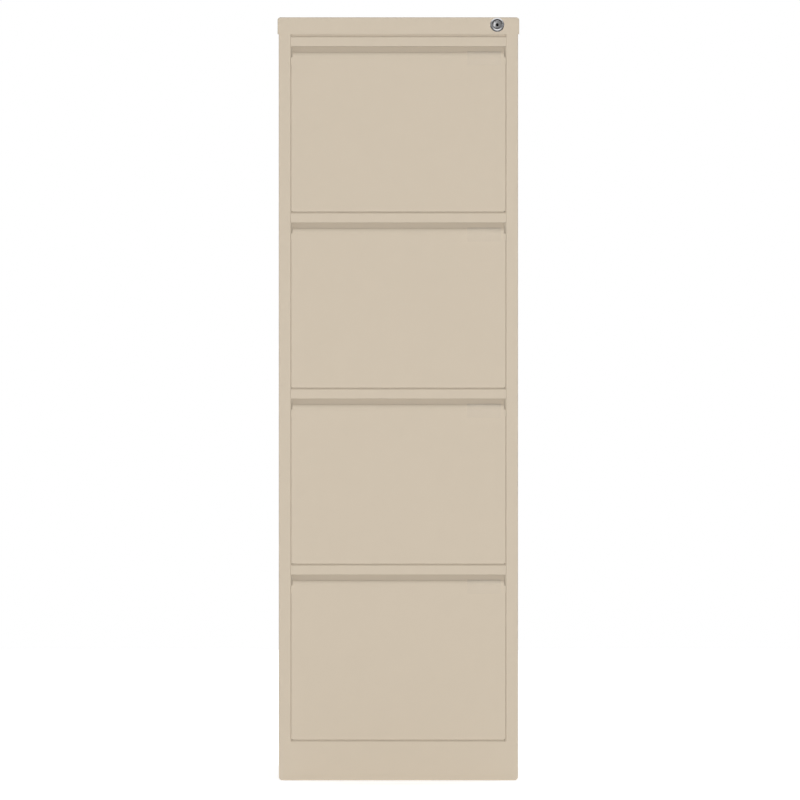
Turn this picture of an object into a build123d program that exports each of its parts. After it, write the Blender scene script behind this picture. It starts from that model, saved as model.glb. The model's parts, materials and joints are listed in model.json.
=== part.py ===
"""A free-standing four-drawer hanging file cabinet, one STEP file per piece.

Millimetres. X points right as seen from the front, the front faces -Y and Z is
up. The origin is on the floor, under the middle of the cabinet. The drawers are
numbered from the top.
"""

import os
from math import cos, pi, radians, sin, tan

from build123d import *

# Sheet steel: thickness, and the inside radius of an ordinary and of a tight bend
SHEET = 1.0
BEND = 0.8
TIGHT_BEND = 0.2

# Cabinet, outside
DEPTH = 622.0
CAP_OVERHANG = 2.0
CAP_HEIGHT = 29.3
CAP_CORNER = 5.0
CAP_EDGE = 1.5
TOP_GAP = 4.5
PLINTH_HEIGHT = 68.0
PLINTH_CORNER = 6.0
STILE_WIDTH = 20.7
STILE_RETURN = 17.0
RAIL_HEIGHT = 16.8
RAIL_DEPTH = 26.0
REAR_FLANGE = 15.0
BOTTOM_FLANGE = 22.0

# Drawers
DRAWERS = 4
PITCH = 304.8
FRONT_GAP = 2.0
SIDE_GAP = 0.6
LIP_DROP = 9.7
LIP_LEAN = 41.0
LIP_RADIUS = 10.5
LIP_BACK_RADIUS = 1.5
LIP_FLAT = 1.8
LIP_RETURN = 12.0
LIP_NOTCH_WIDTH = 2.0
LIP_NOTCH_HEIGHT = 9.0
LIP_CORNER = 3.0
HEM_WIDTH = 8.0
FRONT_DEPTH = 30.0
LINER_INSET = 2.0
FINGER_DEPTH = 33.0
LEDGE_DEPTH = 3.0
STOP_DROP = 6.0
STOP_GAP = 0.4
TRAY_LIFT = 14.0
TRAY_SIDE = 241.0
TRAY_BEND = 2.0
TRAY_FLANGE = 7.5
REAR_SPACE = 55.0
FILE_RAIL_SPAN = 330.0
FILE_RAIL_THICKNESS = 2.0
FILE_RAIL_HEIGHT = 24.0
FILE_RAIL_RISE = 9.0

# Telescopic slides
SLIDE_STEEL = 1.2
SLIDE_WIDTH = 13.0
SLIDE_HEIGHT = 45.0
SLIDE_LIFT = 70.0
SLIDE_SETBACK = 2.0
BALL_GAP = 2.0
RUNNING_GAP = 0.5
BUFFER_LENGTH = 15.0
POST_WIDTH = 30.0
POST_FLANGE = 12.0
POST_FROM_FRONT = 55.0
POST_FROM_SLIDE_END = 17.0

# Label holders
HOLDER_WIDTH = 58.0
HOLDER_FROM_EDGE = 8.5
HOLDER_HEIGHT = 23.0
HOLDER_HOOK = 6.0
HOLDER_PLASTIC = 1.2
HOLDER_GAP = 0.05

# Lock
LOCK_FROM_EDGE = 38.1
LOCK_FROM_TOP = 13.0
BEZEL_RADIUS = 12.15
BEZEL_DEPTH = 3.0
BARREL_RADIUS = 9.4
BARREL_LENGTH = 26.0
PLUG_RADIUS = 6.7
PLUG_GAP = 0.3
KEYWAY_WIDTH = 3.2
KEYWAY_HEIGHT = 5.4
KEYWAY_DEPTH = 9.0
NUT_FLATS = 22.0
NUT_THICKNESS = 4.0
CRANK_RADIUS = 8.0
CRANK_REST = 225.0
CRANK_PLATE = 2.0
CRANK_PIN_RADIUS = 2.0
PIN_GAP = 0.7
BAR_THICKNESS = 2.0
BAR_WIDTH = 14.0
BAR_WALL_GAP = 3.0
BAR_FOOT = 150.0
ARM_MARGIN = 3.0
FINGER_HEIGHT = 8.0
FINGER_REACH = 12.0
FINGER_GAP = 2.0
CATCH_LIFT = 120.0
CATCH_HEIGHT = 12.0
CATCH_STEEL = 1.5
CATCH_LENGTH = 20.0
CATCH_GAP = 1.0
GUIDE_WALL = 3.5
GUIDE_GAP = 0.4
GUIDE_HEIGHT = 20.0
GUIDE_LIFT = 190.0

# Base and feet
BASE_LIFT = 14.0
BASE_EDGE = 7.0
FOOT_RADIUS = 12.0
FOOT_THICKNESS = 5.0
FOOT_INSET = 37.0
STUD_RADIUS = 4.0
STUD_TOP = 30.0
STUD_HOLE_GAP = 0.5
FOOT_NUT_FLATS = 13.0
FOOT_NUT_HEIGHT = 6.5

# Across the width, from the folders' rails outward to the body's side
HALF_TRAY = (FILE_RAIL_SPAN + FILE_RAIL_THICKNESS) / 2 + TRAY_FLANGE
SLIDE_X = HALF_TRAY + SLIDE_WIDTH
HALF_STEP = SLIDE_X - SLIDE_SETBACK
MIDDLE_X = HALF_STEP - RUNNING_GAP
STEP = SHEET + 2 * TIGHT_BEND + 0.4
HALF_OPENING = HALF_STEP + STEP
HALF_FRONT = HALF_OPENING - SIDE_GAP
HALF_LINER = HALF_FRONT - LINER_INSET
HALF_BODY = HALF_OPENING + STILE_WIDTH
WALL = HALF_BODY - SHEET
BAR_OUTER = WALL - BAR_WALL_GAP
BAR_INNER = BAR_OUTER - BAR_WIDTH

# From the front plane to the back, and upwards
FRONT = SHEET - DEPTH / 2
BACK = DEPTH / 2 - SHEET
OPENING = PITCH - RAIL_HEIGHT
CAP_BOTTOM = PLINTH_HEIGHT + DRAWERS * PITCH + TOP_GAP
HEIGHT = CAP_BOTTOM + CAP_HEIGHT
LEDGE_Y = FRONT + LEDGE_DEPTH
HEM = 2 * SHEET + 2 * TIGHT_BEND + 0.1
LINER_BACK = FRONT + FRONT_DEPTH
LIP_TOP = OPENING - LIP_DROP
TRAY_BACK = BACK - REAR_SPACE
TRAY_TOP = TRAY_LIFT + TRAY_SIDE
BAR_Y = LINER_BACK + FINGER_GAP
CATCH_Y = BAR_Y + BAR_THICKNESS + CATCH_GAP
SLIDE_FRONT = BAR_Y + BAR_THICKNESS
SLIDE_BACK = TRAY_BACK + 7
MEMBER_BACK = SLIDE_BACK - BUFFER_LENGTH - 1
POST_FRONTS = (FRONT + POST_FROM_FRONT, SLIDE_BACK - POST_FROM_SLIDE_END - POST_WIDTH)
LOCK_X = HALF_BODY + CAP_OVERHANG - LOCK_FROM_EDGE
LOCK_Z = HEIGHT - LOCK_FROM_TOP
PIN_X = LOCK_X + CRANK_RADIUS * cos(radians(CRANK_REST))
PIN_Z = LOCK_Z + CRANK_RADIUS * sin(radians(CRANK_REST))
HALF_SLOT = CRANK_PIN_RADIUS + PIN_GAP
BAR_TOP = PIN_Z + HALF_SLOT + ARM_MARGIN
EPS = 1.0


def opening_bottom(number):
    """Height of the bottom of a drawer's opening."""
    return PLINTH_HEIGHT + (DRAWERS - number) * PITCH


def block(x0, x1, y0, y1, z0, z1):
    """A box between two opposite corners."""
    return Pos((x0 + x1) / 2, (y0 + y1) / 2, (z0 + z1) / 2) * Box(x1 - x0, y1 - y0, z1 - z0)


def along_x(outline, x0, x1):
    """Sweep an outline drawn in (y, z) from x0 to x1."""
    return Pos(x0, 0, 0) * extrude(Plane.YZ * outline, x1 - x0)


def along_y(outline, y0, y1):
    """Sweep an outline drawn in (x, z) from y0 to y1."""
    return Pos(0, y1, 0) * extrude(Plane.XZ * outline, y1 - y0)


def along_z(outline, z0, z1):
    """Sweep an outline drawn in (x, y) from z0 to z1."""
    return Pos(0, 0, z0) * extrude(outline, z1 - z0)


def disc(radius, x, z):
    """A round outline in the (x, z) plane."""
    return Pos(x, z) * Circle(radius)


def both_sides(part):
    """The part and its mirror image on the other side of the cabinet."""
    return part + mirror(part, about=Plane.YZ)


def sheet_outline(points, thickness, bends):
    """Section of a folded sheet: the points are one face, the other lies to their left.

    bends holds the inside radius of each corner."""
    pts = [Vector(*p) for p in points]
    dirs = [(b - a).normalized() for a, b in zip(pts, pts[1:])]
    normals = [Vector(-d.Y, d.X) for d in dirs]
    other = [pts[0] + normals[0] * thickness]
    for before, after, point in zip(normals, normals[1:], pts[1:]):
        other.append(point + (before + after) * (thickness / (1 + before.dot(after))))
    other.append(pts[-1] + normals[-1] * thickness)
    near, far = [0.0], [0.0]
    for a, b, bend in zip(dirs, dirs[1:], bends):
        turns_left = a.X * b.Y - a.Y * b.X > 0
        near.append(bend + thickness if turns_left else bend)
        far.append(bend if turns_left else bend + thickness)
    near.append(0.0)
    far.append(0.0)
    return make_face(FilletPolyline(*pts, *other[::-1], radius=near + far[::-1], close=True))


def corner_waste(x, z, radius, up):
    """What rounding a corner at (x, z) takes off, with the solid towards x = 0."""
    side = 1 if x > 0 else -1
    inward_x = x - side * radius
    inward_z = z - radius if up else z + radius
    square = Pos((x + inward_x) / 2, (z + inward_z) / 2) * Rectangle(radius, radius)
    return square - Pos(inward_x, inward_z) * Circle(radius)


def side_panel_right():
    """Side wall folded into the front stile, the rear flange and the bottom flange."""
    plan = [
        (HALF_STEP, FRONT + STILE_RETURN),
        (HALF_STEP, LEDGE_Y),
        (HALF_OPENING, LEDGE_Y),
        (HALF_OPENING, FRONT),
        (HALF_BODY, FRONT),
        (HALF_BODY, BACK),
        (HALF_BODY - REAR_FLANGE, BACK),
    ]
    bends = [TIGHT_BEND, TIGHT_BEND, TIGHT_BEND, BEND, BEND]
    upper = along_z(sheet_outline(plan, SHEET, bends), PLINTH_HEIGHT, HEIGHT - CAP_CORNER)
    foot = [(HALF_BODY - BOTTOM_FLANGE, 0), (HALF_BODY, 0), (HALF_BODY, PLINTH_HEIGHT)]
    bottom = sheet_outline(foot, SHEET, [PLINTH_CORNER - SHEET])
    lower = along_y(bottom, FRONT + SHEET, BACK - 2 * SHEET)
    corner = [(HALF_BODY, BACK - 10), (HALF_BODY, BACK), (HALF_BODY - REAR_FLANGE, BACK)]
    rear = along_z(sheet_outline(corner, SHEET, [BEND]), PLINTH_CORNER, PLINTH_HEIGHT)
    return upper + lower + rear


def back_panel():
    """Flat rear sheet, welded inside the flanges of the side panels."""
    half = WALL - BEND - 2
    return block(-half, half, BACK - 2 * SHEET, BACK - SHEET, 0, HEIGHT - SHEET)


def foot_places():
    """Where the four levelling feet stand."""
    x = HALF_BODY - FOOT_INSET
    y = BACK - FOOT_INSET
    return [(i * x, j * y) for i in (-1, 1) for j in (-1, 1)]


def base_panel():
    """Floor of the cabinet: a flat sheet with its edges turned down."""
    y0, y1 = FRONT + SHEET, BACK - 2 * SHEET
    outer = block(-WALL, WALL, y0, y1, BASE_LIFT - BASE_EDGE, BASE_LIFT)
    inner = block(SHEET - WALL, WALL - SHEET, y0 + SHEET, y1 - SHEET, 0, BASE_LIFT - SHEET)
    panel = outer - inner
    for x, y in foot_places():
        panel -= Pos(x, y, BASE_LIFT) * Cylinder(STUD_RADIUS + STUD_HOLE_GAP, 4 * SHEET)
    return panel


def levelling_feet():
    """Round foot and threaded stud in one, four times."""
    feet = Part()
    for x, y in foot_places():
        pad = Pos(x, y, FOOT_THICKNESS / 2) * Cylinder(FOOT_RADIUS, FOOT_THICKNESS)
        pad = fillet(pad.edges().filter_by(GeomType.CIRCLE).group_by(Axis.Z)[-1], EPS)
        length = STUD_TOP - FOOT_THICKNESS
        feet += pad + Pos(x, y, FOOT_THICKNESS + length / 2) * Cylinder(STUD_RADIUS, length)
    return feet


def foot_nuts():
    """Weld nuts on the base panel that the studs turn in."""
    nuts = Part()
    shape = RegularPolygon(FOOT_NUT_FLATS / 2, 6, major_radius=False) - Circle(STUD_RADIUS)
    for x, y in foot_places():
        nuts += along_z(Pos(x, y) * shape, BASE_LIFT, BASE_LIFT + FOOT_NUT_HEIGHT)
    return nuts


def ledge_points(top):
    """Back of a ledge, the step behind the front gap, and the front edge under it."""
    rear = FRONT + RAIL_DEPTH
    return [
        (rear, top - LEDGE_DEPTH),
        (rear, top + STEP),
        (LEDGE_Y, top + STEP),
        (LEDGE_Y, top),
        (FRONT, top),
    ]


def between_stiles(outline):
    """Sweep a rail section across the opening and clear the steps of the stiles."""
    bar = along_x(outline, -HALF_OPENING, HALF_OPENING)
    waste = block(HALF_STEP, HALF_BODY, LEDGE_Y - TIGHT_BEND, 0, 0, HEIGHT)
    return bar - both_sides(waste)


def front_rail(number):
    """Cross rail over a drawer, with a stop flange for the drawer's liner."""
    bottom = opening_bottom(number) + OPENING
    top = bottom + RAIL_HEIGHT
    stop = LINER_BACK + STOP_GAP
    below = [(FRONT, bottom), (stop, bottom), (stop, bottom - STOP_DROP)]
    if number == 1:
        upstand = FRONT + 2 * LEDGE_DEPTH
        above = [(upstand, CAP_BOTTOM + TOP_GAP), (upstand, top), (FRONT, top)]
        bends = [BEND, TIGHT_BEND, TIGHT_BEND, BEND]
    else:
        above = ledge_points(top)
        bends = [BEND, TIGHT_BEND, TIGHT_BEND, TIGHT_BEND, TIGHT_BEND, BEND]
    return between_stiles(sheet_outline(above + below, SHEET, bends))


def plinth_panel():
    """Front panel below the drawers, with a ledge on top and rounded lower corners."""
    section = ledge_points(PLINTH_HEIGHT) + [(FRONT, 0)]
    bends = [BEND, TIGHT_BEND, TIGHT_BEND, TIGHT_BEND]
    panel = between_stiles(sheet_outline(section, SHEET, bends))
    end = block(HALF_OPENING, HALF_BODY, FRONT, FRONT + SHEET, 0, PLINTH_HEIGHT)
    edge = end.edges().filter_by(Axis.Z).sort_by(Axis.X)[-2:].sort_by(Axis.Y)[0]
    end = fillet(edge, BEND)
    waste = corner_waste(HALF_BODY, 0, PLINTH_CORNER, up=False)
    end -= along_y(waste, FRONT - EPS, FRONT + SHEET + EPS)
    return panel + both_sides(end)


def cap_outline(inset):
    """Front view of the cap, moved inward by a sheet for the hollow."""
    half = HALF_BODY + CAP_OVERHANG - inset
    low = CAP_BOTTOM - (EPS if inset else 0)
    high = HEIGHT - inset
    corners = [(-half, low), (half, low), (half, high), (-half, high)]
    round_off = CAP_CORNER - inset
    return make_face(FilletPolyline(*corners, radius=[0, 0, round_off, round_off], close=True))


def top_cap():
    """Cap folded over the body, open below, with the hole for the lock."""
    shell = along_y(cap_outline(0), -DEPTH / 2, DEPTH / 2)
    ends = shell.edges().group_by(Axis.Y)
    shell = fillet([edge for end in (ends[0], ends[-1]) for edge in end.sort_by(Axis.Z)[1:]], CAP_EDGE)
    shell -= along_y(cap_outline(SHEET), FRONT, BACK)
    return shell - along_y(disc(BARREL_RADIUS, LOCK_X, LOCK_Z), -DEPTH / 2 - EPS, FRONT + EPS)


def slide_post(front):
    """Vertical hat channel on the right wall that carries the slides."""
    web = SLIDE_X + SLIDE_STEEL
    plan = [
        (WALL, front - POST_FLANGE),
        (WALL, front),
        (web, front),
        (web, front + POST_WIDTH),
        (WALL, front + POST_WIDTH),
        (WALL, front + POST_WIDTH + POST_FLANGE),
    ]
    outline = sheet_outline(plan, SLIDE_STEEL, [BEND] * 4)
    return along_z(outline, BASE_LIFT, opening_bottom(1) + OPENING)


def channel(x_open, x_web, half_height, middle, y0, y1):
    """One slide member: a channel whose web is at x_web and whose mouth is at x_open."""
    side = 1 if x_web > x_open else -1
    points = [
        (x_open, middle - side * half_height),
        (x_web, middle - side * half_height),
        (x_web, middle + side * half_height),
        (x_open, middle + side * half_height),
    ]
    return along_y(sheet_outline(points, SLIDE_STEEL, [BEND] * 2), y0, y1)


def slides_outer(number):
    """The pair of fixed slide members of a drawer."""
    middle = opening_bottom(number) + SLIDE_LIFT
    mouth = HALF_TRAY + 2 * RUNNING_GAP
    return both_sides(channel(mouth, SLIDE_X, SLIDE_HEIGHT / 2, middle, SLIDE_FRONT, SLIDE_BACK))


def slides_middle(number):
    """The pair of slide members that travel half as far as the drawer."""
    middle = opening_bottom(number) + SLIDE_LIFT
    half = SLIDE_HEIGHT / 2 - SLIDE_STEEL - BALL_GAP
    mouth = HALF_TRAY + SLIDE_STEEL + 2 * RUNNING_GAP
    return both_sides(channel(mouth, MIDDLE_X, half, middle, SLIDE_FRONT, MEMBER_BACK))


def slides_inner(number):
    """The pair of slide members screwed to the tray."""
    middle = opening_bottom(number) + SLIDE_LIFT
    half = SLIDE_HEIGHT / 2 - 2 * (SLIDE_STEEL + BALL_GAP)
    mouth = MIDDLE_X - SLIDE_STEEL - 2 * RUNNING_GAP
    return both_sides(channel(mouth, HALF_TRAY, half, middle, SLIDE_FRONT, MEMBER_BACK))


def slide_buffers():
    """Rubber blocks in the rear ends of the fixed slide members."""
    buffers = Part()
    half = SLIDE_HEIGHT / 2 - SLIDE_STEEL - BALL_GAP
    x0, x1 = HALF_TRAY + SLIDE_STEEL + 2 * RUNNING_GAP, SLIDE_X - SLIDE_STEEL
    for number in range(1, DRAWERS + 1):
        middle = opening_bottom(number) + SLIDE_LIFT
        y0 = SLIDE_BACK - BUFFER_LENGTH
        buffers += both_sides(block(x0, x1, y0, SLIDE_BACK, middle - half, middle + half))
    return buffers


def lip_corners(lip, gap):
    """Corners of the grip lip from the side: the one behind, then the one on the face.

    On a wide bend the face starts to lean back, and on a tight one it curls down again.
    A gap moves the whole outline outward."""
    lean = radians(LIP_LEAN)
    wide = (LIP_RADIUS + gap) * tan(lean / 2)
    tight = (LIP_BACK_RADIUS + gap) * tan((pi - lean) / 2)
    slope = wide + LIP_FLAT + tight
    face, high = FRONT - gap, lip - LIP_BACK_RADIUS + tight
    return (face + slope * sin(lean), high), (face, high - slope * cos(lean))


def drawer_front(number):
    """Front sheet: hemmed below and at the sides, rolled back into a grip lip above."""
    z0 = opening_bottom(number)
    low, lip = z0 + FRONT_GAP, z0 + LIP_TOP
    behind_lip, shoulder = lip_corners(lip, 0)
    back = behind_lip[0]
    section = [
        (back, lip - LIP_RETURN),
        behind_lip,
        shoulder,
        (FRONT, low),
        (FRONT + HEM, low),
        (FRONT + HEM, low + HEM_WIDTH),
    ]
    bends = [LIP_BACK_RADIUS - SHEET, LIP_RADIUS - SHEET, TIGHT_BEND, TIGHT_BEND]
    skin = along_x(sheet_outline(section, SHEET, bends), -HALF_FRONT, HALF_FRONT)
    hem_top = lip - 2 * LIP_RADIUS
    edge = HALF_FRONT - HEM
    plain = block(edge, HALF_BODY, FRONT - EPS, LINER_BACK, z0 - EPS, hem_top)
    behind = block(HALF_LINER - SHEET, HALF_BODY, FRONT + HEM, LINER_BACK, hem_top - EPS, z0 + OPENING)
    skin -= both_sides(plain + behind)
    end = HALF_FRONT - LIP_NOTCH_WIDTH
    notch = block(end, HALF_BODY, FRONT - EPS, LINER_BACK, lip - LIP_NOTCH_HEIGHT, lip + EPS)
    waste = along_y(corner_waste(end, lip, LIP_CORNER, up=True), FRONT - EPS, back + EPS)
    skin -= both_sides(notch + waste)
    fold = [
        (edge - EPS, FRONT),
        (HALF_FRONT, FRONT),
        (HALF_FRONT, FRONT + HEM),
        (HALF_FRONT - HEM_WIDTH, FRONT + HEM),
    ]
    hem = along_z(sheet_outline(fold, SHEET, [TIGHT_BEND] * 2), low + HEM / 2, hem_top)
    return skin + both_sides(hem)


def drawer_liner(number):
    """Pan behind the front: it stiffens the front and holds the finger trough."""
    z0 = opening_bottom(number)
    y0 = FRONT + HEM
    low, high = z0 + FRONT_GAP + HEM, z0 + OPENING - RUNNING_GAP
    floor = z0 + LIP_TOP - FINGER_DEPTH
    pan = block(-HALF_LINER, HALF_LINER, y0, LINER_BACK, low, high)
    pan = fillet(pan.edges().filter_by(Axis.Z).group_by(Axis.Y)[-1], BEND + SHEET)
    half = HALF_LINER - SHEET
    hollow = block(-half, half, y0 - EPS, LINER_BACK - SHEET, low + SHEET, high + EPS)
    pan -= fillet(hollow.edges().filter_by(Axis.Z).group_by(Axis.Y)[-1], BEND)
    trough = block(-half, half, y0, LINER_BACK - SHEET, floor - SHEET, floor)
    tongue = half - HEM_WIDTH
    return pan + trough + block(-tongue, tongue, FRONT + SHEET, y0, floor - SHEET, floor)


def drawer_tray(number):
    """Folded tray with inward top flanges, a welded back and front tabs."""
    z0 = opening_bottom(number)
    bottom, top = z0 + TRAY_LIFT, z0 + TRAY_TOP
    flange = HALF_TRAY - TRAY_FLANGE
    section = [
        (-flange, top),
        (-HALF_TRAY, top),
        (-HALF_TRAY, bottom),
        (HALF_TRAY, bottom),
        (HALF_TRAY, top),
        (flange, top),
    ]
    tray = along_y(sheet_outline(section, SHEET, [TRAY_BEND] * 4), LINER_BACK, TRAY_BACK)
    half = HALF_TRAY - SHEET
    tray += block(-half, half, TRAY_BACK - SHEET, TRAY_BACK, bottom + SHEET, top - SHEET)
    tab = block(flange, half, LINER_BACK, LINER_BACK + SHEET, bottom + SHEET, top - SHEET)
    return tray + both_sides(tab)


def file_rails(number):
    """The two strips that the suspension folders hang from."""
    top = opening_bottom(number) + TRAY_TOP + FILE_RAIL_RISE
    x0 = (FILE_RAIL_SPAN - FILE_RAIL_THICKNESS) / 2
    strip = block(x0, x0 + FILE_RAIL_THICKNESS, LINER_BACK, TRAY_BACK - SHEET,
                  top - FILE_RAIL_HEIGHT, top)
    crown = strip.edges().filter_by(Axis.Y).group_by(Axis.Z)[-1]
    return both_sides(fillet(crown, FILE_RAIL_THICKNESS / 2 - 0.1))


def label_holder(number):
    """Clear plastic clip that hooks over the grip lip at the right-hand end."""
    lip = opening_bottom(number) + LIP_TOP
    behind_lip, shoulder = lip_corners(lip, HOLDER_GAP)
    foot = (shoulder[0], lip - HOLDER_HEIGHT)
    section = [foot, shoulder, behind_lip, (behind_lip[0], lip - HOLDER_HOOK)]
    bends = [LIP_RADIUS + HOLDER_GAP, LIP_BACK_RADIUS + HOLDER_GAP]
    x1 = HALF_FRONT - HOLDER_FROM_EDGE
    return along_x(sheet_outline(section, HOLDER_PLASTIC, bends), x1 - HOLDER_WIDTH, x1)


def lock_catch(number):
    """Angle on the right side of the tray that the lock bar's finger holds back."""
    z0 = opening_bottom(number) + CATCH_LIFT
    z1 = z0 + CATCH_HEIGHT
    foot = block(HALF_TRAY, HALF_TRAY + CATCH_STEEL, CATCH_Y, CATCH_Y + CATCH_LENGTH, z0, z1)
    tip = MIDDLE_X - RUNNING_GAP
    return foot + block(HALF_TRAY, tip, CATCH_Y, CATCH_Y + CATCH_STEEL, z0, z1)


def lock_housing():
    """Bezel and threaded barrel that stay still in the cap."""
    front = -DEPTH / 2
    bezel = along_y(disc(BEZEL_RADIUS, LOCK_X, LOCK_Z), front - BEZEL_DEPTH, front)
    rim = bezel.edges().filter_by(GeomType.CIRCLE).group_by(Axis.Y)[0]
    bezel = fillet(rim, BEZEL_DEPTH / 2)
    barrel = along_y(disc(BARREL_RADIUS, LOCK_X, LOCK_Z), front, front + BARREL_LENGTH)
    bore = disc(PLUG_RADIUS + PLUG_GAP, LOCK_X, LOCK_Z)
    return bezel + barrel - along_y(bore, front - 2 * BEZEL_DEPTH, front + 2 * BARREL_LENGTH)


def lock_nut():
    """Flat nut that clamps the lock behind the cap's front."""
    shape = RegularPolygon(NUT_FLATS / 2, 6, major_radius=False)
    shape -= Circle(BARREL_RADIUS)
    return along_y(Pos(LOCK_X, LOCK_Z) * shape, FRONT, FRONT + NUT_THICKNESS)


def lock_plug():
    """Turning plug with the keyway."""
    front = -DEPTH / 2 - BEZEL_DEPTH
    rear = BAR_Y - 2 * CRANK_PLATE
    plug = along_y(disc(PLUG_RADIUS, LOCK_X, LOCK_Z), front, rear)
    rim = plug.edges().filter_by(GeomType.CIRCLE).group_by(Axis.Y)[0]
    plug = fillet(rim, TIGHT_BEND * 2)
    slot = Pos(LOCK_X, LOCK_Z) * Rectangle(KEYWAY_WIDTH, KEYWAY_HEIGHT)
    return plug - along_y(slot, front - EPS, front + KEYWAY_DEPTH)


def lock_crank():
    """Arm on the plug whose pin lifts the lock bar."""
    plate_back = BAR_Y - CRANK_PLATE
    end = 2 * CRANK_PIN_RADIUS
    web = Rot(0, 0, CRANK_REST) * Pos(CRANK_RADIUS / 2, 0) * Rectangle(CRANK_RADIUS, 2 * end)
    arm = disc(PLUG_RADIUS, LOCK_X, LOCK_Z) + Pos(LOCK_X, LOCK_Z) * web + disc(end, PIN_X, PIN_Z)
    plate = along_y(arm, plate_back - CRANK_PLATE, plate_back)
    pin = disc(CRANK_PIN_RADIUS, PIN_X, PIN_Z)
    return plate + along_y(pin, plate_back, BAR_Y + BAR_THICKNESS + RUNNING_GAP)


def lock_bar():
    """Plain strip behind the right stile that slides up and down in the guides."""
    y0 = BAR_Y + BAR_THICKNESS
    return block(BAR_INNER, BAR_OUTER, y0, y0 + BAR_THICKNESS, BAR_FOOT, BAR_TOP)


def lock_bar_arms():
    """Slotted crank arm and a finger per drawer, riveted on the front of the bar."""
    y0, y1 = BAR_Y, BAR_Y + BAR_THICKNESS
    slot_x0, slot_x1 = LOCK_X - CRANK_RADIUS - HALF_SLOT, PIN_X + HALF_SLOT
    arms = block(slot_x0 - ARM_MARGIN, BAR_OUTER, y0, y1, PIN_Z - HALF_SLOT - ARM_MARGIN, BAR_TOP)
    arms -= block(slot_x0, slot_x1, y0 - EPS, y1 + EPS, PIN_Z - HALF_SLOT, PIN_Z + HALF_SLOT)
    for number in range(1, DRAWERS + 1):
        high = opening_bottom(number) + CATCH_LIFT - FINGER_GAP
        arms += block(BAR_INNER - FINGER_REACH, BAR_OUTER, y0, y1, high - FINGER_HEIGHT, high)
    return arms


def lock_bar_guides():
    """Plastic blocks on the right wall that the lock bar slides in."""
    guides = Part()
    x0 = BAR_INNER - GUIDE_GAP - CATCH_STEEL
    y0 = BAR_Y + BAR_THICKNESS - GUIDE_GAP
    y1 = y0 + BAR_THICKNESS + 2 * GUIDE_GAP
    for number in range(1, DRAWERS + 1):
        z0 = opening_bottom(number) + GUIDE_LIFT
        z1 = z0 + GUIDE_HEIGHT
        guide = block(x0, WALL, y0 - GUIDE_WALL, y1 + GUIDE_WALL, z0, z1)
        guides += guide - block(BAR_INNER - GUIDE_GAP, BAR_OUTER + GUIDE_GAP, y0, y1, z0 - EPS, z1 + EPS)
    return guides


def cabinet_pieces():
    """Every piece by its name."""
    right = side_panel_right()
    pieces = {
        "side_panel_left": mirror(right, about=Plane.YZ),
        "side_panel_right": right,
        "back_panel": back_panel(),
        "base_panel": base_panel(),
        "plinth_panel": plinth_panel(),
        "top_cap": top_cap(),
        "slide_buffers": slide_buffers(),
        "lock_housing": lock_housing(),
        "lock_nut": lock_nut(),
        "lock_plug": lock_plug(),
        "lock_crank": lock_crank(),
        "lock_bar": lock_bar(),
        "lock_bar_arms": lock_bar_arms(),
        "lock_bar_guides": lock_bar_guides(),
        "levelling_feet": levelling_feet(),
        "foot_nuts": foot_nuts(),
    }
    for place, front in zip(("front", "rear"), POST_FRONTS):
        post = slide_post(front)
        pieces[f"slide_post_{place}_right"] = post
        pieces[f"slide_post_{place}_left"] = mirror(post, about=Plane.YZ)
    for number in range(1, DRAWERS + 1):
        pieces[f"front_rail_{number}"] = front_rail(number)
        pieces[f"slides_outer_{number}"] = slides_outer(number)
        pieces[f"slides_middle_{number}"] = slides_middle(number)
        pieces[f"drawer_{number}_slides_inner"] = slides_inner(number)
        pieces[f"drawer_{number}_front"] = drawer_front(number)
        pieces[f"drawer_{number}_liner"] = drawer_liner(number)
        pieces[f"drawer_{number}_tray"] = drawer_tray(number)
        pieces[f"drawer_{number}_file_rails"] = file_rails(number)
        pieces[f"drawer_{number}_label_holder"] = label_holder(number)
        pieces[f"drawer_{number}_lock_catch"] = lock_catch(number)
    return pieces


os.makedirs("parts", exist_ok=True)
for name, piece in cabinet_pieces().items():
    export_step(piece, f"parts/{name}.step")
    print(name, len(piece.solids()), round(piece.volume))
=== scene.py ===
# %% [markdown]
# # A four-drawer filing cabinet, dressed for the camera
# The measured model arrives as a frame of folded steel sheets. This file gives each sheet its
# finish, adds the small parts that a draughtsman leaves plain, and sets up floor, light and camera.
# All lengths are metres, X points right, the front faces -Y and Z is up.

import json
import math

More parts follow.
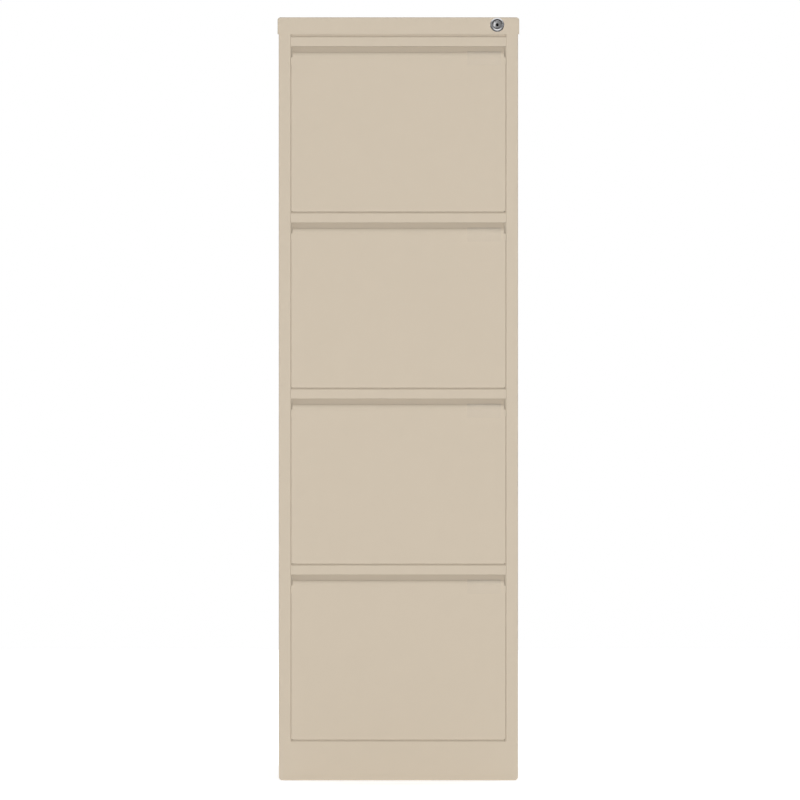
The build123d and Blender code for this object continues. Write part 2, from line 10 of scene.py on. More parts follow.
import bmesh
import bpy
import numpy as np
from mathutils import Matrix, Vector

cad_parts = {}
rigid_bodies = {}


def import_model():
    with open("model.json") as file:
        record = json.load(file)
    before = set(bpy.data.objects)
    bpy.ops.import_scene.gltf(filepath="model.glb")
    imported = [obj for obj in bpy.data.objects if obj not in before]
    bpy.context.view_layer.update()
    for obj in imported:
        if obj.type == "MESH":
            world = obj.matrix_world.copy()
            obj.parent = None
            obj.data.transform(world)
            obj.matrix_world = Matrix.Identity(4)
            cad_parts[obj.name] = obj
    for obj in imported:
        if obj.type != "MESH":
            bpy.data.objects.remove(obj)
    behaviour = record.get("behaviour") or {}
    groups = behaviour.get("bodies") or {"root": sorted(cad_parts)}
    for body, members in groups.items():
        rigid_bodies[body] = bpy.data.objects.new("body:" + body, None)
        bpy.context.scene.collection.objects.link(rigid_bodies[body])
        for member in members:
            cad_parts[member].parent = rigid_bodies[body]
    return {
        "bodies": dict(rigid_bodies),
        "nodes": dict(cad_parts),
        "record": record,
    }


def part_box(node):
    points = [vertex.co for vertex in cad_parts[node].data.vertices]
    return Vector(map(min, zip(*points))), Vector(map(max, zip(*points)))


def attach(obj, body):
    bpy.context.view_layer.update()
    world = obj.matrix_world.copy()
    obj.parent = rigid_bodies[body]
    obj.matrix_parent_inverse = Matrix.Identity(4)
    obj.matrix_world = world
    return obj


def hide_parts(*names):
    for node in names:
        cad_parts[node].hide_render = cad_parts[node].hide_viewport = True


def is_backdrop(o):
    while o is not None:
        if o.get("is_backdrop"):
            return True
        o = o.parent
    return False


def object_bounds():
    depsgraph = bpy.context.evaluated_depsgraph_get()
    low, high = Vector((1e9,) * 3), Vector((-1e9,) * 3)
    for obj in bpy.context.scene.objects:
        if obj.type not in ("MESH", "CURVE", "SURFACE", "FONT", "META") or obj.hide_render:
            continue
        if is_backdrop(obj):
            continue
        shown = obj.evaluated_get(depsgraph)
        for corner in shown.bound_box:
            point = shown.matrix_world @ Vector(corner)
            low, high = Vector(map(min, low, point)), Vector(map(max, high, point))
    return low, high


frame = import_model()
cad_low, cad_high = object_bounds()
nodes = frame["nodes"]
slot_of = {part["node"]: part["material_slot"] for part in frame["record"]["subparts"]}
DRAWERS = range(1, 1 + sum(name.startswith("drawer_") for name in frame["bodies"]))
MM = 0.001
print("nodes", len(nodes), "size", [round(h - l, 4) for l, h in zip(cad_low, cad_high)])

# %% [markdown]
# ## Small tools for shader nodes
# A finish is a graph of nodes. A few helpers keep the graphs short: one adds a node and wires
# its inputs in a single line, one starts a node group with named sockets, and the others are the
# steps that come back most. A group is a piece of graph that several finishes share, each with
# its own numbers.

# %% Helpers for node graphs
SOCKETS = {"value": "NodeSocketFloat", "colour": "NodeSocketColor"}


def add(tree, kind, inputs=None, **settings):
    """Add a node; inputs maps a socket's name or number to a value or to another socket."""
    node = tree.nodes.new(kind)
    for name, setting in settings.items():
        setattr(node, name, setting)
    for name, source in (inputs or {}).items():
        if isinstance(source, bpy.types.NodeSocket):
            tree.links.new(source, node.inputs[name])
        else:
            node.inputs[name].default_value = source
    return node


def start_group(name, inputs, outputs):
    """A new group with sockets {name: (kind, default)} in and {name: kind} out."""
    tree = bpy.data.node_groups.new(name, "ShaderNodeTree")
    for label, (kind, default) in inputs.items():
        socket = tree.interface.new_socket(label, in_out="INPUT", socket_type=SOCKETS[kind])
        socket.default_value = default
    for label, kind in outputs.items():
        tree.interface.new_socket(label, in_out="OUTPUT", socket_type=SOCKETS[kind])
    return tree, tree.nodes.new("NodeGroupInput").outputs, tree.nodes.new("NodeGroupOutput").inputs


def use_group(tree, group, **inputs):
    """Place a group in a material; the inputs are given by name with _ for a space."""
    node = add(tree, "ShaderNodeGroup", node_tree=group)
    for name, source in inputs.items():
        socket = node.inputs[name.replace("_", " ")]
        if isinstance(source, bpy.types.NodeSocket):
            tree.links.new(source, socket)
        else:
            socket.default_value = source
    return node.outputs


def spread(tree, value, low, high):
    """Carry a value of 0 to 1 to the span from low to high."""
    node = add(tree, "ShaderNodeMapRange", {"Value": value, "To Min": low, "To Max": high})
    return node.outputs["Result"]


def calculate(tree, operation, first, second):
    """One step of arithmetic on two values, each a number or a socket."""
    node = add(tree, "ShaderNodeMath", {0: first, 1: second}, operation=operation)
    return node.outputs[0]


def noise(tree, point, scale, detail=2.0, roughness=0.5):
    """Soft noise of 0 to 1 whose blobs are about 1 / scale metres wide."""
    node = add(tree, "ShaderNodeTexNoise",
               {"Vector": point, "Scale": scale, "Detail": detail, "Roughness": roughness})
    return node.outputs["Fac"]


# %% [markdown]
# ## Powder coat
# The cabinet is sprayed with polyester powder that melts into a fine orange peel: low bumps
# about half a millimetre apart, broken by a finer sparkle, over a colour that drifts by a
# percent or two from sheet to sheet. Image scans would need flat copies of every sheet, so
# noise on the object's own coordinates is used: it runs on unbroken across folds and seams.

# %% Group: powder coat
coat_group, given, result = start_group(
    "powder coat",
    {"Colour": ("colour", (0.6, 0.6, 0.6, 1)), "Drift": ("value", 0.02), "Peel": ("value", 1.0),
     "Roughness": ("value", 0.5)},
    {"Colour": "colour", "Roughness": "value", "Height": "value"},
)
place = add(coat_group, "ShaderNodeTexCoord").outputs["Object"]
clouds = noise(coat_group, place, 3.0)
patches = noise(coat_group, place, 40.0)
peel = noise(coat_group, place, 1600.0, detail=1.0)
sparkle = noise(coat_group, place, 5200.0, detail=1.0)
blend = calculate(coat_group, "ADD", clouds, patches)
centred = calculate(coat_group, "SUBTRACT", blend, 1.0)
drift = calculate(coat_group, "MULTIPLY", centred, given["Drift"])
level = calculate(coat_group, "ADD", drift, 1.0)
tinted = add(coat_group, "ShaderNodeVectorMath", {0: given["Colour"], "Scale": level},
             operation="SCALE")
rough_drift = spread(coat_group, patches, -0.05, 0.05)
rough = calculate(coat_group, "ADD", given["Roughness"], rough_drift)
fine = calculate(coat_group, "MULTIPLY", sparkle, 0.3)
bumps = calculate(coat_group, "ADD", peel, fine)
height = calculate(coat_group, "MULTIPLY", bumps, given["Peel"])
coat_group.links.new(tinted.outputs["Vector"], result["Colour"])
coat_group.links.new(rough, result["Roughness"])
coat_group.links.new(height, result["Height"])
print("group", coat_group.name, len(coat_group.nodes), "nodes")

# %% [markdown]
# ## Rolled metal
# Zinc-plated strip keeps the long lines of the rolls that flattened it, and a faint cloudiness
# of the plating. The lines are noise stretched along the sheet: its coordinates are scaled down
# along Y, the way the slides and rails run, so each blob becomes a streak.

# %% Group: rolled metal
metal_group, given, result = start_group(
    "rolled metal",
    {"Colour": ("colour", (0.6, 0.6, 0.6, 1)), "Roughness": ("value", 0.35),
     "Lines": ("value", 1.0)},
    {"Colour": "colour", "Roughness": "value", "Height": "value"},
)
place = add(metal_group, "ShaderNodeTexCoord").outputs["Object"]
ALONG_ROLLS = (1.0, 0.02, 1.0)
stretched = add(metal_group, "ShaderNodeMapping",
                {"Vector": place, "Scale": ALONG_ROLLS}).outputs[0]
lines = noise(metal_group, stretched, 2400.0, detail=3.0, roughness=0.7)
cloud = noise(metal_group, place, 60.0, detail=3.0)
both = calculate(metal_group, "MULTIPLY", lines, cloud)
shade = spread(metal_group, both, 0.86, 1.14)
toned = add(metal_group, "ShaderNodeVectorMath", {0: given["Colour"], "Scale": shade},
            operation="SCALE")
swing = spread(metal_group, cloud, -0.12, 0.12)
rough = calculate(metal_group, "ADD", given["Roughness"], swing)
height = calculate(metal_group, "MULTIPLY", lines, given["Lines"])
metal_group.links.new(toned.outputs["Vector"], result["Colour"])
metal_group.links.new(rough, result["Roughness"])
metal_group.links.new(height, result["Height"])
print("group", metal_group.name, len(metal_group.nodes), "nodes")

# %% [markdown]
# ## The finishes
# Each finish is one Principled shader. What stays the same all over, such as being metal or the
# index of refraction, is set on the shader. What changes over the surface comes from a group.

# %% Make a finish from a group
def finish(name, group, colour, roughness, bump_mm, bump_strength, shader=None, **amounts):
    """A material whose colour, roughness and bumps come from one of the groups."""
    material = bpy.data.materials.new(name)
    material.use_nodes = True
    tree = material.node_tree
    principled = tree.nodes["Principled BSDF"]
    surface = use_group(tree, group, Colour=(*colour, 1.0), Roughness=roughness, **amounts)
    bump = add(tree, "ShaderNodeBump", {"Height": surface["Height"], "Strength": bump_strength,
                                        "Distance": bump_mm * MM})
    tree.links.new(surface["Colour"], principled.inputs["Base Color"])
    tree.links.new(surface["Roughness"], principled.inputs["Roughness"])
    tree.links.new(bump.outputs["Normal"], principled.inputs["Normal"])
    for socket, value in (shader or {}).items():
        principled.inputs[socket].default_value = value
    return material


def from_srgb(red, green, blue):
    """Linear light of a colour given as 0 to 255 display values: ((v + 0.055) / 1.055) ** 2.4."""
    shown = np.array([red, green, blue]) / 255.0
    return tuple(float(v) for v in ((shown + 0.055) / 1.055) ** 2.4)


BEIGE = from_srgb(206, 193, 174)
finishes = {
    "painted_steel": finish("beige_powder_coat", coat_group, BEIGE, 0.52, 0.02, 0.5,
                            {"IOR": 1.45}, Drift=0.02, Peel=1.0),
    "zinc_plated_steel": finish("zinc_plate", metal_group, (0.62, 0.63, 0.64), 0.34, 0.01, 0.4,
                                {"Metallic": 1.0}, Lines=1.0),
    "chrome": finish("chrome_plate", metal_group, (0.80, 0.80, 0.82), 0.14, 0.004, 0.2,
                     {"Metallic": 1.0}, Lines=0.3),
    "satin_chrome": finish("satin_chrome_plate", metal_group, (0.80, 0.80, 0.81), 0.24, 0.004, 0.3,
                           {"Metallic": 1.0}, Lines=0.6),
    # painted shade: a near-black finish for the keyhole's inside, standing in for the shadow deep
    # in the hole
    "painted_keyhole_shade": finish("painted_keyhole_shade_finish", metal_group, (0.012, 0.012, 0.013), 0.7, 0.01, 0.4,
                          {"IOR": 1.2}, Lines=0.5),
    "rubber": finish("black_rubber", coat_group, (0.02, 0.02, 0.02), 0.75, 0.03, 0.6,
                     Drift=0.2, Peel=1.0),
    "black_plastic": finish("black_moulded_plastic", coat_group, (0.025, 0.025, 0.026), 0.45, 0.03,
                            0.5, Drift=0.1, Peel=1.0),
}
print("finishes", sorted(finishes))

# %% [markdown]
# ## Clear plastic
# The label holders are thin clear clips, all but unseen from the front. Real refraction would
# cost light and grain for a sheet this thin, so the plastic is mostly see-through, and only its
# gloss and its edges, where more plastic lies in the line of sight, are drawn.

# %% Finish: clear plastic
clear = bpy.data.materials.new("clear_plastic")
clear.use_nodes = True
tree = clear.node_tree
principled = tree.nodes["Principled BSDF"]
haze = use_group(tree, coat_group, Colour=(0.85, 0.85, 0.84, 1.0), Drift=0.02, Peel=1.0,
                 Roughness=0.12)
edge = add(tree, "ShaderNodeLayerWeight", {"Blend": 0.35}).outputs["Facing"]
tree.links.new(haze["Colour"], principled.inputs["Base Color"])
tree.links.new(haze["Roughness"], principled.inputs["Roughness"])
tree.links.new(spread(tree, edge, 0.02, 0.16), principled.inputs["Alpha"])
finishes["clear_plastic"] = clear
print("finish", clear.name)

# %% [markdown]
# ## Dress the measured pieces
# Every piece of the frame names its material. Its mesh could be unwrapped and painted, but the
# finishes need no unwrapping, so each piece simply gets the one finish that belongs to its slot.

# %% Give every measured piece its finish
for name, piece in nodes.items():
    piece.data.materials.clear()
    piece.data.materials.append(finishes[slot_of[name]])
print("dressed", len(nodes))

# %% [markdown]
# ## Round pieces from two numbers
# The lock, the studs and the rivets are turned on a lathe: every point is found by two numbers,
# how far along the outline and how far round the axis. numpy works out all points at once as a
# grid, and one function turns any such grid into a mesh. Primitive cylinders would be quicker to
# place, but they have no threads, domes or rolled edges.

# %% A mesh from a grid of points
def grid_piece(name, grids, slot, body, finish_name=None, closed=False):
    """One object over several grids of shape (rows, columns, 3) whose columns run round and meet.

    Point (i, j) is joined to (i, j + 1), (i + 1, j + 1) and (i + 1, j). A closed grid joins its
    last row to its first; an open one gets a flat face over each end."""
    rows, columns = grids[0].shape[:2]
    i = np.arange(rows if closed else rows - 1)[:, None]
    j = np.arange(columns)[None, :]
    low, high, beside = i * columns, (i + 1) % rows * columns, (j + 1) % columns
    quads = np.stack([low + j, low + beside, high + beside, high + j], axis=-1).reshape(-1, 4)
    ends = [] if closed else [np.arange(columns)[::-1], (rows - 1) * columns + np.arange(columns)]
    faces = [(face + shift).tolist() for shift in np.arange(len(grids)) * rows * columns
             for face in (*quads, *ends)]
    mesh = bpy.data.meshes.new(name)
    mesh.from_pydata(np.concatenate([grid.reshape(-1, 3) for grid in grids]).tolist(), [], faces)
    work = bmesh.new()
    work.from_mesh(mesh)
    bmesh.ops.recalc_face_normals(work, faces=work.faces)
    work.to_mesh(mesh)
    work.free()
    mesh.shade_smooth()
    mesh.set_sharp_from_angle(angle=math.radians(40))
    mesh.materials.append(finishes[finish_name or slot])
    piece = bpy.data.objects.new(name, mesh)
    bpy.context.scene.collection.objects.link(piece)
    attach(piece, body)
    print(name, "faces", len(mesh.polygons))
    return piece


ROUND = 64


def turned(radius, along, columns=ROUND):
    """Lathe grid: (radius * cos a, radius * sin a, along) for angles a all round.

    radius and along hold one number per row, or one per row and column."""
    angle = np.linspace(0, 2 * np.pi, columns, endpoint=False)[None, :]
    radius = np.reshape(radius, (len(radius), -1)) + 0 * angle
    along = np.reshape(along, (len(along), -1)) + 0 * angle
    return np.stack([radius * np.cos(angle), radius * np.sin(angle), along], axis=-1)


def facing_front(grid, centre):
    """Lay a lathe grid along Y, its axis through centre (x, z)."""
    return grid[..., [0, 2, 1]] + np.array([centre[0], 0.0, centre[1]])


def thread(radius, depth, pitch, start, end, columns=ROUND, per_turn=8):
    """Rows of a screw thread: (radii, places along the axis).

    r = radius - depth * (1 + cos(2 pi s / pitch - a)) / 2, where s is the place along the axis and
    a the angle, so the groove climbs by one pitch per turn. It fades out over the first and last
    turn."""
    s = np.linspace(start, end, int((end - start) / pitch * per_turn))[:, None]
    a = np.linspace(0, 2 * np.pi, columns, endpoint=False)[None, :]
    fade = np.clip(np.minimum(s - start, end - s) / pitch, 0, 1)
    return radius - fade * depth * (1 + np.cos(2 * np.pi * s / pitch - a)) / 2, s + 0 * a


# %% [markdown]
# ## The lock
# A cam lock shows a chromed ring round its plug. The ring rises from the plug to a narrow crown
# and falls away to its rim. It could be a bevelled tube, but its two slopes decide what it
# mirrors, so they are drawn as lines of given angles, with the corners between them rounded:
# where they lean up they mirror the bright ceiling, and elsewhere the dim room in front.

# %% Lock: outline of the ring
low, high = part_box("lock_housing")
cap_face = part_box("top_cap")[0].y
lock_axis = ((low.x + high.x) / 2, (low.z + high.z) / 2)
ring_outer = (high.x - low.x) / 2
BORE = 7.0 * MM
BARREL = 9.4 * MM
THREAD_PITCH = 1.5 * MM
THREAD_DEPTH = 0.6 * MM
THREAD_NECK = 1.5 * MM
THREAD_END = 0.3 * MM
END_BEVEL = 0.5 * MM
INNER_EDGE = 1.4 * MM
INNER_SLOPE = 26.0
OUTER_SLOPE = 38.0
RIM_HEIGHT = 1.35 * MM
CROWN_ROUNDING = 0.12 * MM


def soft_minimum(heights, rounding):
    """The lowest of some curves with their meeting corners rounded: -k log(sum(exp(-h / k)))."""
    return -rounding * np.log(np.sum(np.exp(-np.array(heights) / rounding), axis=0))


ring_radius = np.linspace(BORE, ring_outer, 33)
crown = (cap_face - low.y) * np.ones_like(ring_radius)
inner_slope = INNER_EDGE + (ring_radius - BORE) * math.tan(math.radians(INNER_SLOPE))
outer_slope = RIM_HEIGHT + (ring_outer - ring_radius) * math.tan(math.radians(OUTER_SLOPE))
ring_along = cap_face - soft_minimum([crown, inner_slope, outer_slope], CROWN_ROUNDING)
ring_radius = np.append(ring_radius, ring_outer)
ring_along = np.append(ring_along, cap_face)
print("ring rows", len(ring_radius), "outer radius", round(ring_outer, 5))

# %% [markdown]
# ## The lock's barrel
# Behind the cap the ring goes on as a threaded barrel that the nut clamps. A thread could be a
# swept coil, but a lathe grid whose radius swings once per turn gives the same groove without
# any cutting, and it joins the ring's rows into one closed skin.

# %% Lock: ring and threaded barrel as one skin
def all_round(values):
    """Repeat one number per row for every point round the axis."""
    return np.repeat(np.reshape(values, (-1, 1)), ROUND, 1)


thread_radius, thread_along = thread(BARREL, THREAD_DEPTH, THREAD_PITCH, cap_face + THREAD_NECK,
                                     high.y - THREAD_END)
radius = np.concatenate([all_round(ring_radius), all_round(BARREL), thread_radius,
                         all_round([BARREL - END_BEVEL, BORE])])
along = np.concatenate([all_round(ring_along), all_round(cap_face), thread_along,
                        all_round([high.y, high.y])])
lock_ring = grid_piece("lock_ring_and_barrel", [facing_front(turned(radius, along), lock_axis)],
                       "chrome", "cabinet", closed=True)
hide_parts("lock_housing")

# %% [markdown]
# ## The lock's plug
# The plug is what the key turns: a slightly domed face with a hole in it. Cutting a hole would
# leave ragged faces, so the grid's rows run from the plug's round edge to the keyhole's own
# outline, which is a rounded oblong in polar form, and then go on down its wall.

# %% Lock: plug with the keyhole
low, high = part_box("lock_plug")
plug_radius = (high.x - low.x) / 2
KEYHOLE_HALF = (2.4 * MM, 2.8 * MM)
KEYHOLE_POWER = 2.4
KEYHOLE_DEPTH = 8.0 * MM
DOME = 0.45 * MM
ROUNDING = 0.2 * MM
angle = np.linspace(0, 2 * np.pi, ROUND, endpoint=False)[None, :]
across = np.abs(np.cos(angle)) / KEYHOLE_HALF[0]
upright = np.abs(np.sin(angle)) / KEYHOLE_HALF[1]
keyhole = (across ** KEYHOLE_POWER + upright ** KEYHOLE_POWER) ** (-1 / KEYHOLE_POWER)
share = np.linspace(0, 1, 12)[:, None]
face_radius = (1 - share) * (plug_radius - ROUNDING) + share * (keyhole + ROUNDING)
face_along = low.y + DOME * (face_radius / plug_radius) ** 2
flat = np.ones_like(angle)
radius = np.concatenate([plug_radius * flat, plug_radius * flat, face_radius, keyhole, keyhole])
keyhole_edge = low.y + DOME * (keyhole / plug_radius) ** 2 + ROUNDING
along = np.concatenate([high.y * flat, (low.y + DOME + ROUNDING) * flat, face_along,
                        keyhole_edge, (low.y + KEYHOLE_DEPTH) * flat])
lock_plug = grid_piece("lock_plug_with_keyhole", [facing_front(turned(radius, along), lock_axis)],
                       "chrome", "lock_cylinder", "satin_chrome")
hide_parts("lock_plug")

# %% [markdown]
# ## The keyhole's painted shade
# The keyhole's wall and bottom are coloured near black: painted shade that stands in for the
# shadow deep in the hole, where the satin chrome would otherwise mirror light back out. The grid's
# faces lie row by row, then come the two ends, so no picking by hand is needed: the last row is
# the keyhole's wall and the last end its bottom.

# %% Lock: painted shade inside the keyhole
wall_row = len(radius) - 2
inside = np.zeros(len(lock_plug.data.polygons), dtype=np.int32)
inside[wall_row * ROUND:(wall_row + 1) * ROUND] = 1
inside[-1] = 1
# painted shade: the keyhole's wall and bottom take the near-black finish in place of the hole's
# shadow
lock_plug.data.materials.append(finishes["painted_keyhole_shade"])
lock_plug.data.polygons.foreach_set("material_index", inside)
print("dark faces", int(inside.sum()))

# %% [markdown]
# ## Nuts
# A pressed nut is a six-sided bar whose corners were turned to a cone. In polar form the hexagon
# is apothem / cos(angle to the nearest flat), and the cone cuts it wherever it is smaller.

# %% Hexagon nuts
def nut_grid(apothem, bore, start, end, columns=72, chamfer=30.0):
    """Closed outline of a chamfered hexagon nut round its bore, as a lathe grid.

    r = min(apothem / cos(b), apothem + gap / tan(chamfer)), where b is the angle to the nearest
    flat and gap the distance to the nearer end."""
    angle = np.linspace(0, 2 * np.pi, columns, endpoint=False)[None, :]
    from_flat = (angle + np.pi / 6) % (np.pi / 3) - np.pi / 6
    hexagon = apothem / np.cos(from_flat)
    height = end - start
    rows = np.array([0, 0, 0.03, 0.06, 0.1, 0.14, 0.2, 0.8, 0.86, 0.9, 0.94, 0.97, 1, 1])
    places = height * rows[:, None]
    gap = np.minimum(places, height - places)
    cone = apothem * 0.97 + gap / math.tan(math.radians(chamfer))
    radius = np.minimum(hexagon, cone)
    radius[[0, -1]] = bore
    return turned(radius, start + places, columns)


low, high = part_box("lock_nut")
nut = nut_grid((high.z - low.z) / 2, BARREL, low.y, high.y)
lock_nut = grid_piece("lock_nut_chamfered", [facing_front(nut, lock_axis)], "zinc_plated_steel",
                      "cabinet", closed=True)
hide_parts("lock_nut")

# %% [markdown]
# ## Levelling feet
# Each corner stands on a screw with a moulded foot. The screw's thread runs up through a nut
# that is welded on the base. The four are alike, so one grid is repeated at four places.

# %% Feet, studs and their nuts
low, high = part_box("levelling_feet")
FOOT_HALF = 12.0 * MM
FOOT_THICK = 5.0 * MM
STUD = 4.0 * MM
STUD_PITCH = 1.25 * MM
STUD_GROOVE = 0.5 * MM
STUD_IN_FOOT = 0.5 * MM
FOOT_NUT_FLATS = 13.0 * MM
foot_places = [np.array([x, y, 0.0]) for x in (low.x + FOOT_HALF, high.x - FOOT_HALF)
               for y in (low.y + FOOT_HALF, high.y - FOOT_HALF)]
foot_outline = MM * np.array([(10.6, 0), (11.6, 0.25), (12.0, 1.0), (12.0, 3.0), (11.5, 3.9),
                              (9.0, 4.4), (6.5, 5.0)])
foot = turned(foot_outline[:, 0], foot_outline[:, 1])
feet = grid_piece("foot_pads", [foot + place for place in foot_places], "black_plastic", "cabinet")
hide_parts("levelling_feet")
radius, along = thread(STUD, STUD_GROOVE, STUD_PITCH, FOOT_THICK - STUD_IN_FOOT, high.z)
grid_piece("foot_studs", [turned(radius, along) + place for place in foot_places],
           "zinc_plated_steel", "cabinet")
low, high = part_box("foot_nuts")
nut = nut_grid(FOOT_NUT_FLATS / 2, STUD, low.z, high.z)
nuts = grid_piece("foot_nuts_chamfered", [nut + place for place in foot_places],
                  "zinc_plated_steel", "cabinet", closed=True)
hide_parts("foot_nuts")

# %% [markdown]
# ## Ball rows
# Between its folded members a slide runs on rows of steel balls, which show when a drawer is
# open. The balls of the fixed member stay with the cabinet, those inside the middle member
# travel with it. They could be instances, but the export wants plain meshes, so one small grid
# is repeated at every place, with few faces each.

# %% Balls of the slides
BALL_STEP = 14.0 * MM
BALL_COUNT = 16
BALL_FROM_EDGE = 4.5 * MM
BALL_SHARE_OF_GAP = 0.95
WALL = 1.2 * MM


def ball(radius, columns=12, rows=7):
    """A small sphere as a lathe grid; its two polar faces are tiny and flat."""
    lift = np.linspace(-1.45, 1.45, rows)
    return turned(radius * np.cos(lift), radius * np.sin(lift), columns)


def ball_rows(name, outer, inner, body):
    """Four rows of balls in the gaps between two members, above and below, left and right."""
    (outer_low, outer_high), (inner_low, inner_high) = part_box(outer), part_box(inner)
    gap = (outer_high.z - WALL - inner_high.z) / 2
    level = inner_high.z + gap
    middle = (inner_high.z + inner_low.z) / 2
    rise = level - middle
    across = (inner_high.x + outer_high.x) / 2 - BALL_FROM_EDGE
    places = [np.array([side * across, outer_low.y + (k + 1) * BALL_STEP, middle + up * rise])
              for side in (-1, 1) for up in (-1, 1) for k in range(BALL_COUNT)]
    one = ball(gap * BALL_SHARE_OF_GAP)
    return grid_piece(name, [one + place for place in places], "zinc_plated_steel", body)


for number in DRAWERS:
    ball_rows(f"outer_balls_{number}", f"slides_outer_{number}", f"slides_middle_{number}",
              "cabinet")
    ball_rows(f"inner_balls_{number}", f"slides_middle_{number}", f"drawer_{number}_slides_inner",
              f"slides_{number}")

# %% [markdown]
# ## Rivets
# Domed rivets hold the inner members to the trays, and the fingers and the crank's arm to the
# lock bar. A head is a quarter circle, flattened and turned on the lathe. It stops just short of
# the axis, so the little face that closes it has no needle-thin neighbours.

# %% Rivets
RIVET = 3.2 * MM
RIVET_DOME = 1.1 * MM
RIVET_ROWS = 7
SHORT_OF_AXIS = 0.93
RIVET_SHARES = (0.06, 0.5, 0.94)
BAR_RIVET_SIZE = 0.8
FINGER_MIDDLE = 6.0 * MM
ARM_MIDDLE = 5.7 * MM
swell = np.linspace(0, np.pi / 2 * SHORT_OF_AXIS, RIVET_ROWS)
rivet = turned(RIVET * np.cos(swell), RIVET_DOME * np.sin(swell), 24)
for number in DRAWERS:
    low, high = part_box(f"drawer_{number}_slides_inner")
    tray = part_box(f"drawer_{number}_tray")[1]
    heads = []
    for side in (-1, 1):
        head = rivet[..., [2, 0, 1]] * np.array([side, 1, 1])
        web = side * (tray.x + WALL)
        heads += [head + np.array([web, low.y + share * (high.y - low.y), (low.z + high.z) / 2])
                  for share in RIVET_SHARES]
    grid_piece(f"slide_rivets_{number}", heads, "zinc_plated_steel", f"drawer_{number}")

low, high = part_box("lock_bar_arms")
bar_low, bar_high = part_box("lock_bar")
head = rivet[..., [0, 2, 1]] * np.array([1, -1, 1])
levels = [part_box(f"drawer_{number}_lock_catch")[0].z - FINGER_MIDDLE for number in DRAWERS]
levels.append(high.z - ARM_MIDDLE)
places = [np.array([(bar_low.x + bar_high.x) / 2, low.y, z]) for z in levels]
grid_piece("bar_rivets", [head * BAR_RIVET_SIZE + place for place in places],
           "zinc_plated_steel", "lock_bar")

# %% [markdown]
# ## The studio floor
# The cabinet stands on white paper that runs out of sight. More light would make it white but
# would bleach the cabinet too, so the paper glows only for the camera, and for mirror rays that
# leave to the rear. It still takes the cabinet's shadow. Towards the front it mirrors dim, as
# the dark half of a studio does.

# %% Floor
def white_where_seen(tree, path, backdrop):
    """1 for what the camera sees, and for mirror and glass rays that run to the white backdrop."""
    ray = calculate(tree, "MAXIMUM", path["Is Glossy Ray"], path["Is Transmission Ray"])
    mirrored = calculate(tree, "MULTIPLY", ray, backdrop)
    return calculate(tree, "MAXIMUM", path["Is Camera Ray"], mirrored)


FLOOR_HALF = 6.0
FLOOR_LIFT = 0.6
DIM_FLOOR = 0.12
DIM_ROOM = 0.26
corners = [(FLOOR_HALF * x, FLOOR_HALF * y, 0) for x, y in ((-1, -1), (1, -1), (1, 1), (-1, 1))]
floor_mesh = bpy.data.meshes.new("floor")
floor_mesh.from_pydata(corners, [], [(0, 1, 2, 3)])
floor = bpy.data.objects.new("floor", floor_mesh)
bpy.context.scene.collection.objects.link(floor)
floor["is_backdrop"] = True

paper = bpy.data.materials.new("studio_floor")
paper.use_nodes = True
tree = paper.node_tree
principled = tree.nodes["Principled BSDF"]
place = add(tree, "ShaderNodeTexCoord").outputs["Object"]
grain = spread(tree, noise(tree, place, 8.0), 0.88, 0.92)
principled.inputs["Roughness"].default_value = 0.9
path = add(tree, "ShaderNodeLightPath").outputs
depth = add(tree, "ShaderNodeSeparateXYZ", {0: place}).outputs["Y"]
behind = add(tree, "ShaderNodeMapRange",
             {"Value": depth, "From Min": -0.8, "From Max": 0.2}).outputs["Result"]
unlit = calculate(tree, "SUBTRACT", 1.0, behind)
mirrored = calculate(tree, "MULTIPLY", path["Is Glossy Ray"], unlit)
tone = add(tree, "ShaderNodeMix", {"Factor": mirrored, "A": grain, "B": DIM_FLOOR}).outputs[0]
grey = add(tree, "ShaderNodeCombineColor", {0: tone, 1: tone, 2: tone}).outputs[0]
tree.links.new(grey, principled.inputs["Base Color"])
seen = white_where_seen(tree, path, behind)
principled.inputs["Emission Color"].default_value = (1, 1, 1, 1)
lift = calculate(tree, "MULTIPLY", seen, FLOOR_LIFT)
tree.links.new(lift, principled.inputs["Emission Strength"])
floor_mesh.materials.append(paper)
print("floor", floor.name, "metres across", 2 * FLOOR_HALF)

# %% [markdown]
# ## The room's soft light
# A world that is one even grey would do for paint, but chrome needs something to mirror. So the
# light that reaches the cabinet stays even, while mirror rays meet a white backdrop behind and
# above and a dim room in front, which is where the lock's dark and bright bands come from.

# %% World
AMBIENT = 0.16
world = bpy.data.worlds.new("studio")
bpy.context.scene.world = world
world.use_nodes = True
tree = world.node_tree
background = tree.nodes["Background"]
path = add(tree, "ShaderNodeLightPath").outputs
direction = add(tree, "ShaderNodeTexCoord").outputs["Generated"]
way = add(tree, "ShaderNodeSeparateXYZ", {0: direction}).outputs
behind = add(tree, "ShaderNodeMapRange",
             {"Value": way["Y"], "From Min": 0.1, "From Max": 0.5}).outputs["Result"]
above = add(tree, "ShaderNodeMapRange",
            {"Value": way["Z"], "From Min": 0.35, "From Max": 0.75}).outputs["Result"]
backdrop = calculate(tree, "MAXIMUM", behind, above)
seen = white_where_seen(tree, path, backdrop)
unseen = add(tree, "ShaderNodeMix",
             {"Factor": path["Is Glossy Ray"], "A": AMBIENT, "B": DIM_ROOM}).outputs[0]
tree.links.new(spread(tree, seen, unseen, 1.0), background.inputs["Strength"])
background.inputs["Color"].default_value = (1, 1, 1, 1)
print("world", world.name, "even light", AMBIENT)

# %% [markdown]
# ## The lamps
# The main lamp hangs at the camera's own place, as a ring light does, so nothing that the camera
# sees lies in its shadow, and the grip slots look only a little darker than the faces. A second
# from the left and a weak one from above give the folds their shade, and two from the rear keep
# the back and the sides from going black in other views. Lamps whose highlight would burn out
# on the chrome or along an edge are hidden from mirror rays.

# %% Lamps
DISTANCE = 30.0
EYE_HEIGHT = 1.3
RING_DEPTH = 3.0 * MM
MIDDLE_HEIGHT = 0.65


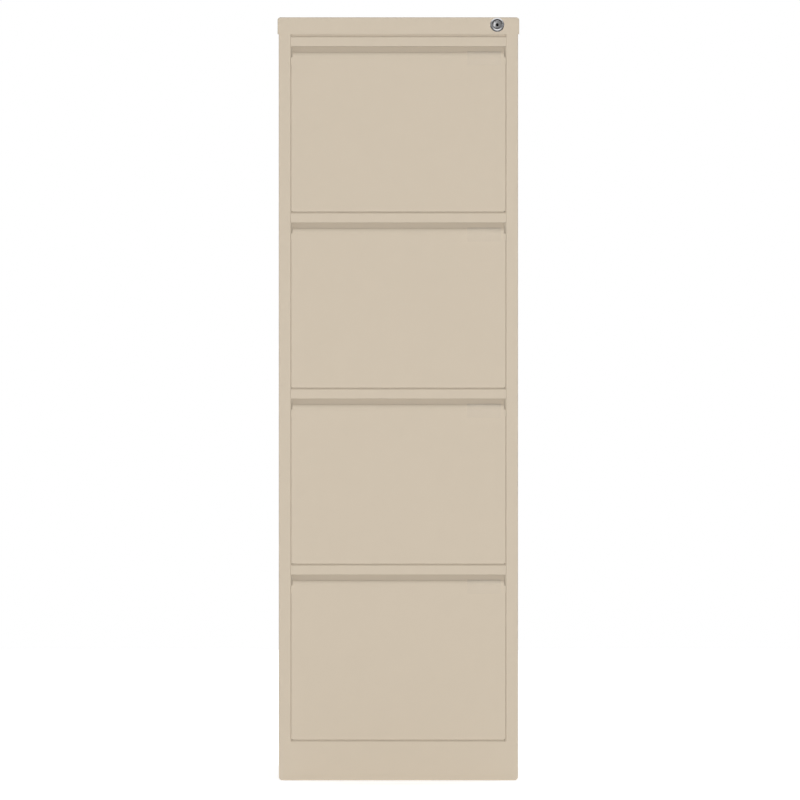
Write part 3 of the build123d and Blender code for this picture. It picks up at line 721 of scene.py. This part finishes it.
def hang(lamp, towards, mirrored, place=(0, 0, 0)):
    """Put a lamp in the studio; one that isn't mirrored leaves no highlight of its own."""
    holder = bpy.data.objects.new(lamp.name, lamp)
    holder.location = place
    holder.rotation_euler = Vector(towards).to_track_quat("-Z", "Y").to_euler()
    holder.visible_glossy = mirrored
    holder.visible_camera = False
    bpy.context.scene.collection.objects.link(holder)
    return holder


def sun(name, strength, angle_deg, towards, mirrored=True):
    """A distant lamp that shines towards a direction, with soft edges of angle_deg."""
    lamp = bpy.data.lights.new(name, "SUN")
    lamp.energy = strength
    lamp.angle = math.radians(angle_deg)
    return hang(lamp, towards, mirrored)


def dish(name, strength, width, place, target):
    """A round lamp at a place; strength is what reaches the target, as with a sun.

    A disc of power P lights a far target with P / (pi * distance ** 2)."""
    towards = Vector(target) - Vector(place)
    lamp = bpy.data.lights.new(name, "AREA")
    lamp.shape = "DISK"
    lamp.size = width
    lamp.energy = strength * math.pi * towards.length_squared
    return hang(lamp, towards, False, place)


front_y = cad_low[1] + RING_DEPTH
dish("front_softbox", 2.0, 1.0, (0.0, front_y - DISTANCE, EYE_HEIGHT),
     (0.0, front_y, MIDDLE_HEIGHT))
sun("left_softbox", 0.16, 26.0, (0.34, 1.0, -0.05))
sun("top_softbox", 0.28, 40.0, (-0.2, 0.35, -1.0), mirrored=False)
sun("rear_right_softbox", 1.2, 40.0, (-0.5, -0.75, -0.45), mirrored=False)
sun("rear_left_softbox", 1.2, 40.0, (0.5, -0.75, -0.45), mirrored=False)
print("lamps", sorted(lamp.name for lamp in bpy.data.lights))

# %% [markdown]
# ## The camera
# The photograph shows the front alone, with no side, top or plinth edge turning away, so it was
# taken from straight ahead and far off. A parallel projection would come close, but a long lens
# at thirty metres keeps the little perspective that a real picture has. Three measures of the
# picture place it: millimetres per pixel, the cabinet's axis and its foot.

# %% Camera, at the photograph's angle
MM_PER_PIXEL = 1.7302
FRAME_PIXELS = 800
AXIS_PIXEL = 398.4
BASE_PIXEL = 780.8
view_width = FRAME_PIXELS * MM_PER_PIXEL * MM
camera_data = bpy.data.cameras.new("camera")
camera_data.sensor_fit = "HORIZONTAL"
camera_data.sensor_width = 36.0
camera_data.lens = camera_data.sensor_width * DISTANCE / view_width
camera_data.clip_end = 100.0
camera = bpy.data.objects.new("camera", camera_data)
middle_x = (FRAME_PIXELS / 2 - AXIS_PIXEL) * MM_PER_PIXEL * MM
middle_z = (BASE_PIXEL - FRAME_PIXELS / 2) * MM_PER_PIXEL * MM
camera.location = (middle_x, front_y - DISTANCE, EYE_HEIGHT)
camera.rotation_euler = (math.pi / 2 - math.atan((EYE_HEIGHT - middle_z) / DISTANCE), 0, 0)
bpy.context.scene.collection.objects.link(camera)
bpy.context.scene.camera = camera
bpy.context.scene.view_settings.view_transform = "Standard"
print("camera", [round(v, 4) for v in camera.location], "lens", round(camera_data.lens, 1))

# %% [markdown]
# ## Measure and finish
# The last step prints how large the dressed cabinet is, to set beside the frame's size printed at
# the start, so that the two can be compared.

# %% Measure and finish
low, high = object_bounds()
print("dressed size", [round(h - l, 4) for l, h in zip(low, high)])
